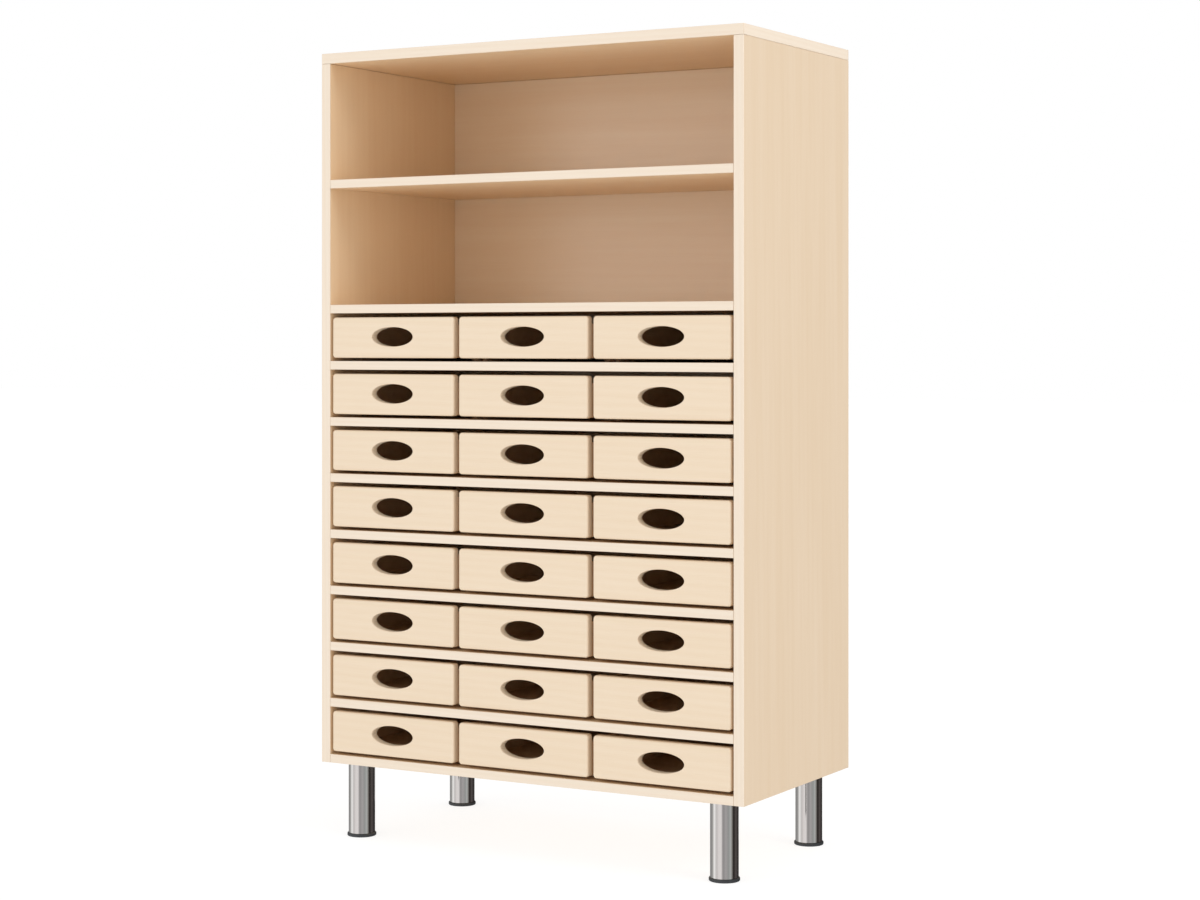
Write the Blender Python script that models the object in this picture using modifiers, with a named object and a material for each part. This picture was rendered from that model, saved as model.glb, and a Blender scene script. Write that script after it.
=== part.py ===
"""Tray storage cabinet on four tube legs: two open bays over eight rows of three pull-out trays.

Metres, +Z up. The origin is on the floor under the middle of the carcass, and the front faces -Y.
"""

import math

import bmesh
import bpy
from mathutils import Matrix, Vector

# Carcass boards
CABINET_WIDTH = 0.830
CABINET_DEPTH = 0.410
SIDE_THICKNESS = 0.018
TOP_THICKNESS = 0.018
SHELF_THICKNESS = 0.015
BACK_THICKNESS = 0.010
BACK_LAP = 0.009
BOARD_EDGE_ROUNDING = 0.0006
JOINT_GAP = 0.0003

# Bays between the cross boards, from the bottom board upwards
TRAY_ROWS = 8
TRAY_COLUMNS = 3
OPEN_BAYS = 2
TRAY_BAY_HEIGHT = 0.0839
OPEN_BAY_HEIGHT = 0.205

# Dowels at the boards' ends: how much board is left past a bore, and how far they stand from the edges
DOWEL_DIAMETER = 0.008
DOWEL_SKIN = 0.007
DOWEL_INSET = 0.055
TOP_DOWEL_IN_SIDE = 0.020

# Trays
TRAY_SIDE_CLEARANCE = 0.005
TRAY_TOP_CLEARANCE = 0.0073
TRAY_REAR_CLEARANCE = 0.011
FRONT_LIFT = 0.0056
FRONT_THICKNESS = 0.016
FRONT_EDGE_ROUNDING = 0.004
FRONT_FACE_CORNER = 0.0015
HOLE_WIDTH = 0.0855
HOLE_HEIGHT = 0.0338
HOLE_RISE = 0.0013
HOLE_EDGE_ROUNDING = 0.0015
WALL_THICKNESS = 0.009
WALL_INSET = 0.0015
WALL_DROP = 0.012
WALL_RELIEF_LENGTH = 0.060
WALL_RELIEF_STEP = 0.001
HOUSING_DEPTH = 0.004
PANEL_THICKNESS = 0.004
PANEL_RISE = 0.008

# Legs
LEG_HEIGHT = 0.131
LEG_INSET_SIDE = 0.056
LEG_INSET_FRONT = 0.043
LEG_DIAMETER = 0.0465
LEG_WALL = 0.0015
PLUG_LENGTH = 0.028
BOLT_DIAMETER = 0.008
BOLT_HEAD_DIAMETER = 0.016
BOLT_HEAD_HEIGHT = 0.0045
BOLT_HEAD_RECESS = 0.0005
BOLT_LENGTH = 0.034
FOOT_DIAMETER = 0.051
FOOT_FLANGE = 0.0055
FOOT_PLUG_LENGTH = 0.018
FOOT_EDGE_ROUNDING = 0.0015

# How finely the curved shapes are divided, and two lengths that only the modelling needs
HOLE_POINTS = 24
CORNER_STEPS = 2
EDGE_STEPS = 2
TUBE_STEPS = 24
BOLT_STEPS = 12
DOWEL_STEPS = 8
CUT_OVERRUN = 0.002
MERGE_DISTANCE = 0.00001
SHARP_BOARD_EDGE = math.radians(60)
SHARP_PLATE_EDGE = math.radians(45)
SHARP_SHADED_EDGE = math.radians(35)

# Levels and spans that follow from the sizes above
BAY_WIDTH = CABINET_WIDTH - 2 * SIDE_THICKNESS
FRONT_Y = -CABINET_DEPTH / 2
REAR_Y = CABINET_DEPTH / 2
BACK_FACE_Y = REAR_Y - BACK_THICKNESS
BOTTOM_TOP_Z = LEG_HEIGHT + SHELF_THICKNESS
TRAY_PITCH = TRAY_BAY_HEIGHT + SHELF_THICKNESS
TRAYS_TOP_Z = BOTTOM_TOP_Z + TRAY_ROWS * TRAY_PITCH
OPEN_PITCH = OPEN_BAY_HEIGHT + SHELF_THICKNESS
TOP_UNDERSIDE_Z = TRAYS_TOP_Z + OPEN_BAYS * OPEN_PITCH - SHELF_THICKNESS
CABINET_TOP_Z = TOP_UNDERSIDE_Z + TOP_THICKNESS
TRAY_CELL = BAY_WIDTH / TRAY_COLUMNS
TRAY_WIDTH = TRAY_CELL - 2 * TRAY_SIDE_CLEARANCE
FRONT_HEIGHT = TRAY_BAY_HEIGHT - FRONT_LIFT - TRAY_TOP_CLEARANCE
TRAY_DEPTH = BACK_FACE_Y - TRAY_REAR_CLEARANCE - FRONT_Y
DOWEL_IN_TOP = TOP_THICKNESS - DOWEL_SKIN
SHELF_DOWEL_REACH = SIDE_THICKNESS - DOWEL_SKIN
DOWEL_RADIUS = DOWEL_DIAMETER / 2
DOWEL_BORE_RADIUS = DOWEL_RADIUS + JOINT_GAP

# Finishes: a colour, a roughness and how metallic it is
FINISHES = {
    "birch_laminate": ((0.80, 0.65, 0.46), 0.45, 0.0),
    "solid_birch": ((0.84, 0.70, 0.51), 0.50, 0.0),
    "beech_dowel": ((0.62, 0.42, 0.24), 0.70, 0.0),
    "polished_steel": ((0.60, 0.60, 0.60), 0.15, 1.0),
    "zinc_plated_steel": ((0.45, 0.45, 0.47), 0.40, 1.0),
    "black_plastic": ((0.02, 0.02, 0.022), 0.50, 0.0),
}


def clear_scene():
    """Remove whatever the file holds."""
    for obj in list(bpy.data.objects):
        bpy.data.objects.remove(obj)


def new_collection(name):
    """A collection under the scene's own."""
    collection = bpy.data.collections.new(name)
    bpy.context.scene.collection.children.link(collection)
    return collection


def finish(name):
    """The Principled material of one finish, made on first use."""
    if name in bpy.data.materials:
        return bpy.data.materials[name]
    colour, roughness, metallic = FINISHES[name]
    material = bpy.data.materials.new(name)
    material.use_nodes = True
    shader = material.node_tree.nodes["Principled BSDF"]
    shader.inputs["Base Color"].default_value = (*colour, 1)
    shader.inputs["Roughness"].default_value = roughness
    shader.inputs["Metallic"].default_value = metallic
    material.diffuse_color = (*colour, 1)
    return material


def add_object(name, mesh, location, material=None):
    """Put a mesh in the parts' collection, under the cabinet's empty."""
    obj = bpy.data.objects.new(name, mesh)
    if material and not mesh.materials:
        mesh.materials.append(finish(material))
    obj.location = location
    obj.parent = cabinet
    parts.objects.link(obj)
    return obj


def make_helper(obj):
    """Move an object to the cutters: it only shapes another."""
    parts.objects.unlink(obj)
    cutters.objects.link(obj)
    obj.hide_render = True
    obj.display_type = "WIRE"
    return obj


def to_mesh(shape, name):
    """Close a bmesh into a new mesh."""
    mesh = bpy.data.meshes.new(name)
    shape.to_mesh(mesh)
    shape.free()
    return mesh


def evaluated_mesh(obj):
    """A copy of the object's mesh with its modifiers applied, in world space."""
    bpy.context.view_layer.update()
    evaluated = obj.evaluated_get(bpy.context.evaluated_depsgraph_get())
    mesh = bpy.data.meshes.new_from_object(evaluated)
    mesh.transform(obj.matrix_world)
    return mesh


def box(name, low, high, material=None):
    """A box between two corners."""
    low, high = Vector(low), Vector(high)
    shape = bmesh.new()
    bmesh.ops.create_cube(shape, size=1)
    bmesh.ops.scale(shape, vec=high - low, verts=shape.verts)
    return add_object(name, to_mesh(shape, name), (low + high) / 2, material)


def rods(name, radius, spans, material=None):
    """Straight round rods between pairs of points, in one mesh placed at the middle of the first."""
    shape = bmesh.new()
    origin = (Vector(spans[0][0]) + Vector(spans[0][1])) / 2
    for start, end in spans:
        along = Vector(end) - Vector(start)
        middle = (Vector(start) + Vector(end)) / 2 - origin
        turn = along.to_track_quat("Z", "Y").to_matrix().to_4x4()
        bmesh.ops.create_cone(
            shape,
            cap_ends=True,
            segments=DOWEL_STEPS,
            radius1=radius,
            radius2=radius,
            depth=along.length,
            matrix=Matrix.Translation(middle) @ turn,
        )
    return add_object(name, to_mesh(shape, name), origin, material)


def plate(name, loops, thickness, location, material=None):
    """An upright extrusion about a point, from one outer loop and any loops of holes."""
    curve = bpy.data.curves.new(name, "CURVE")
    curve.dimensions = "2D"
    curve.fill_mode = "BOTH"
    curve.extrude = thickness / 2
    for loop in loops:
        spline = curve.splines.new("POLY")
        spline.points.add(len(loop) - 1)
        spline.use_cyclic_u = True
        for point, (x, y) in zip(spline.points, loop):
            point.co = (x, y, 0, 1)
    guide = bpy.data.objects.new(name, curve)
    parts.objects.link(guide)
    mesh = evaluated_mesh(guide)
    bpy.data.objects.remove(guide)
    shape = bmesh.new()
    shape.from_mesh(mesh)
    bmesh.ops.remove_doubles(shape, verts=shape.verts, dist=MERGE_DISTANCE)
    bmesh.ops.recalc_face_normals(shape, faces=shape.faces)
    return add_object(name, to_mesh(shape, name), location, material)


def turned(name, profile, steps, location, material=None, closed=False):
    """A shape of revolution about +Z. The profile holds radii and heights, down its outer side."""
    shape = bmesh.new()
    points = [shape.verts.new((radius, 0, height)) for radius, height in profile]
    pairs = list(zip(points, points[1:]))
    if closed:
        pairs.append((points[-1], points[0]))
    for pair in pairs:
        shape.edges.new(pair)
    obj = add_object(name, to_mesh(shape, name), location, material)
    screw = obj.modifiers.new("turning", "SCREW")
    screw.angle = 2 * math.pi
    screw.steps = steps
    screw.render_steps = steps
    screw.use_merge_vertices = True
    screw.merge_threshold = MERGE_DISTANCE
    screw.use_smooth_shade = True
    return obj


def combine(obj, other, operation):
    """Cut or join an object with an exact Boolean; the other one becomes a helper."""
    step = obj.modifiers.new(other.name, "BOOLEAN")
    step.operation = operation
    step.solver = "EXACT"
    step.object = make_helper(other)


def break_edges(board):
    """Take the sharpness off a board's edges, as its edge banding does."""
    bevel = board.modifiers.new("broken_edges", "BEVEL")
    bevel.width = BOARD_EDGE_ROUNDING
    bevel.segments = 1
    bevel.limit_method = "ANGLE"
    bevel.angle_limit = SHARP_BOARD_EDGE


def shade_round(obj):
    """Smooth the round faces and keep the edges sharp."""
    obj.data.shade_smooth()
    obj.data.set_sharp_from_angle(angle=SHARP_SHADED_EDGE)


def arc(centre_x, centre_y, radius, start, end, steps):
    """Points of an arc from one angle to another, in degrees."""
    angles = [math.radians(start + (end - start) * step / steps) for step in range(steps + 1)]
    return [(centre_x + radius * math.cos(a), centre_y + radius * math.sin(a)) for a in angles]


def rounded_rectangle(width, height, radius):
    """An outline with round corners about its own centre, anticlockwise."""
    x = width / 2 - radius
    y = height / 2 - radius
    corners = [(x, y, 0), (-x, y, 90), (-x, -y, 180), (x, -y, 270)]
    return [
        point
        for corner_x, corner_y, start in corners
        for point in arc(corner_x, corner_y, radius, start, start + 90, CORNER_STEPS)
    ]


def ellipse(width, height):
    """An ellipse about its own centre."""
    return [(width * x, height * y) for x, y in arc(0, 0, 1 / 2, 0, 360, HOLE_POINTS)[:-1]]


def top_dowel_spans():
    """The dowels that stand in the middle of the sides' upper ends, by name, from the foot upwards."""
    x = CABINET_WIDTH / 2 - SIDE_THICKNESS / 2
    y = CABINET_DEPTH / 2 - DOWEL_INSET
    low_z = TOP_UNDERSIDE_Z - TOP_DOWEL_IN_SIDE
    high_z = TOP_UNDERSIDE_Z + DOWEL_IN_TOP
    places = {"left_front": (-x, -y), "left_rear": (-x, y), "right_front": (x, -y), "right_rear": (x, y)}
    return {name: (Vector((*place, low_z)), Vector((*place, high_z))) for name, place in places.items()}


def end_dowel_spans(underside_z, side):
    """The two dowels at one end of a cross board, from inside the board outwards."""
    z = underside_z + SHELF_THICKNESS / 2
    start_x = side * (BAY_WIDTH / 2 - SHELF_DOWEL_REACH)
    end_x = side * (BAY_WIDTH / 2 + SHELF_DOWEL_REACH)
    places = [FRONT_Y + DOWEL_INSET, BACK_FACE_Y - DOWEL_INSET]
    return [(Vector((start_x, y, z)), Vector((end_x, y, z))) for y in places]


def bore_spans(dowel_spans):
    """The bores for some dowels, each a joint gap longer than its dowel at both ends."""
    spans = []
    for start, end in dowel_spans:
        extra = (end - start).normalized() * JOINT_GAP
        spans.append((start - extra, end + extra))
    return spans


def cross_board_levels():
    """The undersides of the boards between the sides, by name."""
    levels = {"bottom_panel": LEG_HEIGHT}
    for row in range(TRAY_ROWS):
        levels[f"tray_shelf_{row + 1}"] = TRAYS_TOP_Z - SHELF_THICKNESS - row * TRAY_PITCH
    for bay in range(OPEN_BAYS - 1):
        levels[f"open_shelf_{bay + 1}"] = TRAYS_TOP_Z + OPEN_BAY_HEIGHT + bay * OPEN_PITCH
    return levels


def side_panel(name, side):
    """An upright board with a rebate for the back and bores for the dowels of its neighbours."""
    outer_x = side * CABINET_WIDTH / 2
    inner_x = side * BAY_WIDTH / 2
    rebate_x = inner_x + side * BACK_LAP
    outline = [
        (outer_x, FRONT_Y),
        (outer_x, REAR_Y),
        (rebate_x, REAR_Y),
        (rebate_x, BACK_FACE_Y),
        (inner_x, BACK_FACE_Y),
        (inner_x, FRONT_Y),
    ]
    upper_z = TOP_UNDERSIDE_Z - JOINT_GAP
    centre_x = (outer_x + inner_x) / 2
    local = [(x - centre_x, y) for x, y in outline]
    place = (centre_x, 0, (LEG_HEIGHT + upper_z) / 2)
    panel = plate(name, [local], upper_z - LEG_HEIGHT, place, "birch_laminate")
    break_edges(panel)
    dowels = [span for span in top_dowel_spans().values() if span[0].x * side > 0]
    for underside_z in cross_board_levels().values():
        dowels.extend(end_dowel_spans(underside_z, side))
    combine(panel, rods(name + "_bores", DOWEL_BORE_RADIUS, bore_spans(dowels)), "DIFFERENCE")


def top_panel():
    """The top board lies over both sides and the back, with blind bores for its dowels."""
    low = (-CABINET_WIDTH / 2, FRONT_Y, TOP_UNDERSIDE_Z)
    high = (CABINET_WIDTH / 2, REAR_Y, CABINET_TOP_Z)
    panel = box("top_panel", low, high, "birch_laminate")
    break_edges(panel)
    spans = bore_spans(top_dowel_spans().values())
    combine(panel, rods("top_panel_bores", DOWEL_BORE_RADIUS, spans), "DIFFERENCE")


def top_dowels():
    """The loose dowels between the top board and the sides."""
    for name, span in top_dowel_spans().items():
        shade_round(rods("top_dowel_" + name, DOWEL_RADIUS, [span], "beech_dowel"))


def cross_board(name, underside_z):
    """A board between the sides and ahead of the back, with its glued dowels standing out at both ends."""
    half_width = BAY_WIDTH / 2 - JOINT_GAP
    low = (-half_width, FRONT_Y, underside_z)
    high = (half_width, BACK_FACE_Y - JOINT_GAP, underside_z + SHELF_THICKNESS)
    board = box(name, low, high, "birch_laminate")
    break_edges(board)
    spans = end_dowel_spans(underside_z, -1) + end_dowel_spans(underside_z, 1)
    combine(board, rods(name + "_dowels", DOWEL_RADIUS, spans), "UNION")
    return board


def cross_boards():
    """The bottom board, which takes the leg bolts, and every shelf."""
    for name, underside_z in cross_board_levels().items():
        board = cross_board(name, underside_z)
        if name == "bottom_panel":
            for leg_name, x, y in leg_places():
                combine(board, bolt_hole("bolt_hole_" + leg_name, x, y), "DIFFERENCE")


def bolt_hole(name, x, y):
    """The countersunk hole that takes one leg's bolt through the bottom board."""
    bore = BOLT_DIAMETER / 2 + JOINT_GAP
    head = BOLT_HEAD_DIAMETER / 2 + JOINT_GAP
    rim_z = BOTTOM_TOP_Z + CUT_OVERRUN
    seat_z = BOTTOM_TOP_Z - BOLT_HEAD_RECESS
    end_z = LEG_HEIGHT - CUT_OVERRUN
    neck_z = seat_z - BOLT_HEAD_HEIGHT
    profile = [(0, rim_z), (head, rim_z), (head, seat_z), (bore, neck_z), (bore, end_z), (0, end_z)]
    return turned(name, profile, BOLT_STEPS, (x, y, 0))


def back_panel():
    """The back lies in the sides' rebates, behind the cross boards and under the top board."""
    half_width = BAY_WIDTH / 2 + BACK_LAP - JOINT_GAP
    low = (-half_width, BACK_FACE_Y + JOINT_GAP, LEG_HEIGHT)
    high = (half_width, REAR_Y, TOP_UNDERSIDE_Z - JOINT_GAP)
    break_edges(box("back_panel", low, high, "birch_laminate"))


def leg_places():
    """A name and the axis of each leg."""
    x = CABINET_WIDTH / 2 - LEG_INSET_SIDE
    y = CABINET_DEPTH / 2 - LEG_INSET_FRONT
    return [("front_left", -x, -y), ("front_right", x, -y), ("rear_left", -x, y), ("rear_right", x, y)]


def leg(name, x, y):
    """A tube, the plug in its upper end, the bolt that pulls it to the bottom board, and its foot."""
    outer = LEG_DIAMETER / 2
    inner = outer - LEG_WALL
    snug = inner - JOINT_GAP
    bore = BOLT_DIAMETER / 2 + JOINT_GAP
    top_z = LEG_HEIGHT - JOINT_GAP
    base_z = FOOT_FLANGE + JOINT_GAP
    plug_z = top_z - PLUG_LENGTH
    tube = [(outer, top_z), (outer, base_z), (inner, base_z), (inner, top_z)]
    plug = [(snug, top_z), (snug, plug_z), (bore, plug_z), (bore, top_z)]
    turned("leg_tube_" + name, tube, TUBE_STEPS, (x, y, 0), "polished_steel", closed=True)
    turned("leg_plug_" + name, plug, TUBE_STEPS, (x, y, 0), "zinc_plated_steel", closed=True)
    turned("leg_bolt_" + name, bolt_profile(), BOLT_STEPS, (x, y, 0), "zinc_plated_steel")
    turned("leg_foot_" + name, foot_profile(snug), TUBE_STEPS, (x, y, 0), "black_plastic")


def bolt_profile():
    """A countersunk bolt from inside the lowest bay down into a leg's plug."""
    head_z = BOTTOM_TOP_Z - BOLT_HEAD_RECESS
    neck_z = head_z - BOLT_HEAD_HEIGHT
    tip_z = head_z - BOLT_LENGTH
    shank = BOLT_DIAMETER / 2
    return [(0, head_z), (BOLT_HEAD_DIAMETER / 2, head_z), (shank, neck_z), (shank, tip_z), (0, tip_z)]


def foot_profile(plug_radius):
    """A glide: a round-edged flange under the tube's end and a plug inside it."""
    flank = FOOT_DIAMETER / 2 - FOOT_EDGE_ROUNDING
    plug_top_z = FOOT_FLANGE + FOOT_PLUG_LENGTH
    upper = arc(flank, FOOT_FLANGE - FOOT_EDGE_ROUNDING, FOOT_EDGE_ROUNDING, 90, 0, EDGE_STEPS)
    lower = arc(flank, FOOT_EDGE_ROUNDING, FOOT_EDGE_ROUNDING, 0, -90, EDGE_STEPS)
    return [(0, plug_top_z), (plug_radius, plug_top_z), (plug_radius, FOOT_FLANGE), *upper, *lower, (0, 0)]


def tray_front():
    """A tray's front board, whose outline and finger hole are rounded over on the face."""
    corner = FRONT_EDGE_ROUNDING + FRONT_FACE_CORNER
    outline = rounded_rectangle(TRAY_WIDTH, FRONT_HEIGHT, corner)
    hole = [(x, y + HOLE_RISE) for x, y in ellipse(HOLE_WIDTH, HOLE_HEIGHT)]
    place = (0, FRONT_THICKNESS / 2, FRONT_LIFT + FRONT_HEIGHT / 2)
    front = plate("tray_front", [outline, hole], FRONT_THICKNESS, place)
    shape = bmesh.new()
    shape.from_mesh(front.data)
    round_over(shape, FRONT_EDGE_ROUNDING, at_hole=False)
    round_over(shape, HOLE_EDGE_ROUNDING, at_hole=True)
    # The plate lies with its face up: it is stood on edge, and the face then looks to -Y.
    bmesh.ops.transform(shape, matrix=Matrix.Rotation(math.pi / 2, 4, "X"), verts=shape.verts)
    shape.to_mesh(front.data)
    shape.free()
    return front


def round_over(shape, width, at_hole):
    """Round the edges of a lying front's upper face, either those of its hole or those of its outline."""
    edges = []
    for edge in shape.edges:
        middle = (edge.verts[0].co + edge.verts[1].co) / 2
        from_hole = math.hypot(middle.x / HOLE_WIDTH, (middle.y - HOLE_RISE) / HOLE_HEIGHT)
        inside = from_hole < math.hypot(1 / 2, 1 / 2)
        sharp = edge.calc_face_angle(0) > SHARP_PLATE_EDGE
        level = abs(edge.verts[0].co.z - edge.verts[1].co.z) < MERGE_DISTANCE
        if sharp and level and middle.z > 0 and inside == at_hole:
            edges.append(edge)
    bmesh.ops.bevel(shape, geom=edges, offset=width, segments=EDGE_STEPS, profile=1 / 2, affect="EDGES")


def tray_mesh():
    """A tray glued up: the front, two walls, a rear wall and a bottom panel housed in all four.

    The walls are relieved under their front ends, so that nothing shows in the gap under the front.
    The origin is at the foot of the front's face, on the shelf, midway between the walls.
    """
    front = tray_front()
    outside_x = TRAY_WIDTH / 2 - WALL_INSET
    inside_x = outside_x - WALL_THICKNESS
    start_y = FRONT_THICKNESS - HOUSING_DEPTH
    inside_y = TRAY_DEPTH - WALL_THICKNESS
    outline = [
        (-outside_x, start_y),
        (-inside_x, start_y),
        (-inside_x, inside_y),
        (inside_x, inside_y),
        (inside_x, start_y),
        (outside_x, start_y),
        (outside_x, TRAY_DEPTH),
        (-outside_x, TRAY_DEPTH),
    ]
    wall_top_z = FRONT_LIFT + FRONT_HEIGHT - WALL_DROP
    place = (0, 0, (JOINT_GAP + wall_top_z) / 2)
    walls = plate("tray_walls", [outline], wall_top_z - JOINT_GAP, place)
    relief_low = (-TRAY_WIDTH / 2, 0, 0)
    relief_high = (TRAY_WIDTH / 2, FRONT_THICKNESS + WALL_RELIEF_LENGTH, FRONT_LIFT + WALL_RELIEF_STEP)
    combine(walls, box("wall_relief", relief_low, relief_high), "DIFFERENCE")
    combine(front, walls, "UNION")
    panel_low = (-inside_x - HOUSING_DEPTH, start_y, PANEL_RISE)
    panel_high = (inside_x + HOUSING_DEPTH, inside_y + HOUSING_DEPTH, PANEL_RISE + PANEL_THICKNESS)
    combine(front, box("tray_bottom", panel_low, panel_high), "UNION")
    mesh = evaluated_mesh(front)
    make_helper(front)
    return mesh


def trays():
    """Rows of trays, counted from the top left. Each slides towards -Y along its own origin's line."""
    mesh = tray_mesh()
    for row in range(TRAY_ROWS):
        shelf_z = TRAYS_TOP_Z - (row + 1) * TRAY_PITCH
        for column in range(TRAY_COLUMNS):
            x = (column + 1 / 2) * TRAY_CELL - BAY_WIDTH / 2
            name = f"tray_r{row + 1}_c{column + 1}"
            shade_round(add_object(name, mesh, (x, FRONT_Y, shelf_z), "solid_birch"))


clear_scene()
parts = new_collection("tray_cabinet")
cutters = new_collection("tray_cabinet_cutters")
cabinet = bpy.data.objects.new("tray_cabinet_frame", None)
parts.objects.link(cabinet)

side_panel("left_side_panel", -1)
side_panel("right_side_panel", 1)
top_panel()
top_dowels()
cross_boards()
back_panel()
for leg_name, leg_x, leg_y in leg_places():
    leg(leg_name, leg_x, leg_y)
trays()
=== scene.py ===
"""The looks of a tray storage cabinet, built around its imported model.

Metres, +Z up. The origin is on the floor under the middle of the carcass, and the front faces -Y.
"""

import logging
import math
from collections.abc import Callable, Iterable
from dataclasses import dataclass, replace
from enum import Enum

import bmesh
import bpy
from mathutils import Matrix, Vector


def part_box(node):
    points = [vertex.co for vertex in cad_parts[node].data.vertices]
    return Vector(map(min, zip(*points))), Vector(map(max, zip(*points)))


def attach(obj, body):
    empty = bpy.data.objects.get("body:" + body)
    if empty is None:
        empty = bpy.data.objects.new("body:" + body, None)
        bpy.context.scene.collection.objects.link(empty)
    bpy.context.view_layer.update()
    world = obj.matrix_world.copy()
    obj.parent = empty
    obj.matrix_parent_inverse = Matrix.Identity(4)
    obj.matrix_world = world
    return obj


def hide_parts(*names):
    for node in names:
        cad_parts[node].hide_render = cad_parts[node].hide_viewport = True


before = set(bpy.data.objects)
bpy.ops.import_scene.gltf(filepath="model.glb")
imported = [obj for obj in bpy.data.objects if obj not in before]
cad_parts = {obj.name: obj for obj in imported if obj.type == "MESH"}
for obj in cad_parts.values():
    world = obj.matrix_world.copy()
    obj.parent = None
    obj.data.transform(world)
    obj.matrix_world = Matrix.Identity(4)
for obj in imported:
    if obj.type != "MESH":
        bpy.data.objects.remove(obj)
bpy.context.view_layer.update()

log = logging.getLogger("tray_cabinet")

CARCASS = "carcass"
MILLIMETRE = 0.001
SAME_PLACE = 0.00002
CUT_OVERRUN = 0.003
SMOOTH_UNDER = math.radians(40)
FACES_STRAIGHT = 0.9

# Sockets of a colour Mix node, whose names repeat
MIX_FACTOR, MIX_A, MIX_B, MIX_RESULT = 0, 6, 7, 2

EdgeTest = Callable[[bmesh.types.BMEdge], bool]


class Axis(Enum):
    """An axis of the row frame."""

    X = 0
    Y = 1
    Z = 2


class Side(Enum):
    """An edge of a board that may take a strip, as the axis it looks along and the way it looks."""

    LEFT = (Axis.X, -1)
    RIGHT = (Axis.X, 1)
    FRONT = (Axis.Y, -1)
    REAR = (Axis.Y, 1)


class Slot(Enum):
    """The material slots."""

    LAMINATE = "birch_laminate"
    BIRCH = "solid_birch"
    DOWEL = "beech_dowel"
    STEEL = "polished_steel"
    ZINC = "zinc_plated_steel"
    PLASTIC = "black_plastic"


def linear(code: str) -> tuple[float, float, float, float]:
    """Turn an sRGB hex colour into the linear one that shaders take.

    Args:
        code: A colour such as "#E8D3B4".

    Returns:
        Linear red, green and blue, and an alpha of 1.
    """
    channels = [int(code[start : start + 2], 16) / 255 for start in (1, 3, 5)]
    low = [c / 12.92 if c <= 0.04045 else ((c + 0.055) / 1.055) ** 2.4 for c in channels]
    return (*low, 1.0)


def add_node(tree: bpy.types.NodeTree, kind: str, inputs: dict | None = None, **settings) -> bpy.types.Node:
    """Add a node, set its properties and fill its inputs.

    Args:
        tree: The node tree that takes it.
        kind: The node's type name.
        inputs: For each input, by name or index, a value or the output socket that drives it.
        **settings: The node's own properties.

    Returns:
        The new node.
    """
    node = tree.nodes.new(kind)
    for key, value in settings.items():
        setattr(node, key, value)
    for key, value in (inputs or {}).items():
        if isinstance(value, bpy.types.NodeSocket):
            tree.links.new(value, node.inputs[key])
        else:
            node.inputs[key].default_value = value
    return node


def new_material(name: str) -> tuple[bpy.types.Material, bpy.types.NodeTree, bpy.types.Node]:
    """Start a material with a Principled shader.

    Args:
        name: The material's name.

    Returns:
        The material, its tree and the shader.
    """
    material = bpy.data.materials.new(name)
    material.use_nodes = True
    tree = material.node_tree
    return material, tree, tree.nodes["Principled BSDF"]


@dataclass(frozen=True)
class WoodGrain:
    """A wood's pattern: growth bands, broad figure and fine fibres, all drawn out along the grain."""

    ring_mm: float
    ring_length_mm: float
    figure_mm: float
    figure_length_mm: float
    fibre_mm: float
    fibre_length_mm: float
    waviness: float = 5.0

    def stretched(self, tree: bpy.types.NodeTree, along: Axis, across_mm: float, along_mm: float) -> bpy.types.NodeSocket:
        """Object coordinates counted in one pattern's own width and length.

        Args:
            tree: The material's tree.
            along: The axis of the grain.
            across_mm: The pattern's width.
            along_mm: Its length.

        Returns:
            The scaled coordinates.
        """
        scale = [1 / (across_mm * MILLIMETRE)] * 3
        scale[along.value] = 1 / (along_mm * MILLIMETRE)
        place = add_node(tree, "ShaderNodeTexCoord").outputs["Object"]
        return add_node(tree, "ShaderNodeMapping", {"Vector": place, "Scale": scale}).outputs["Vector"]

    def rings(self, tree: bpy.types.NodeTree, along: Axis) -> bpy.types.NodeSocket:
        """Growth bands that wander and close into arches, as a flat-sawn board shows them."""
        place = self.stretched(tree, along, self.ring_mm, self.ring_length_mm)
        wave = add_node(
            tree,
            "ShaderNodeTexWave",
            {"Vector": place, "Scale": 0.32, "Distortion": self.waviness, "Detail": 2.0, "Detail Scale": 0.35},
            bands_direction="DIAGONAL",
        )
        return wave.outputs["Fac"]

    def figure(self, tree: bpy.types.NodeTree, along: Axis) -> bpy.types.NodeSocket:
        """Broad soft bands of lighter and darker wood."""
        place = self.stretched(tree, along, self.figure_mm, self.figure_length_mm)
        noise = add_node(tree, "ShaderNodeTexNoise", {"Vector": place, "Scale": 1.0, "Detail": 3.0, "Distortion": 0.4})
        return noise.outputs["Fac"]

    def fibres(self, tree: bpy.types.NodeTree, along: Axis) -> bpy.types.NodeSocket:
        """Fine streaks of pores and fibres."""
        place = self.stretched(tree, along, self.fibre_mm, self.fibre_length_mm)
        noise = add_node(tree, "ShaderNodeTexNoise", {"Vector": place, "Scale": 1.0, "Detail": 4.0, "Roughness": 0.6})
        return noise.outputs["Fac"]


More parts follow.
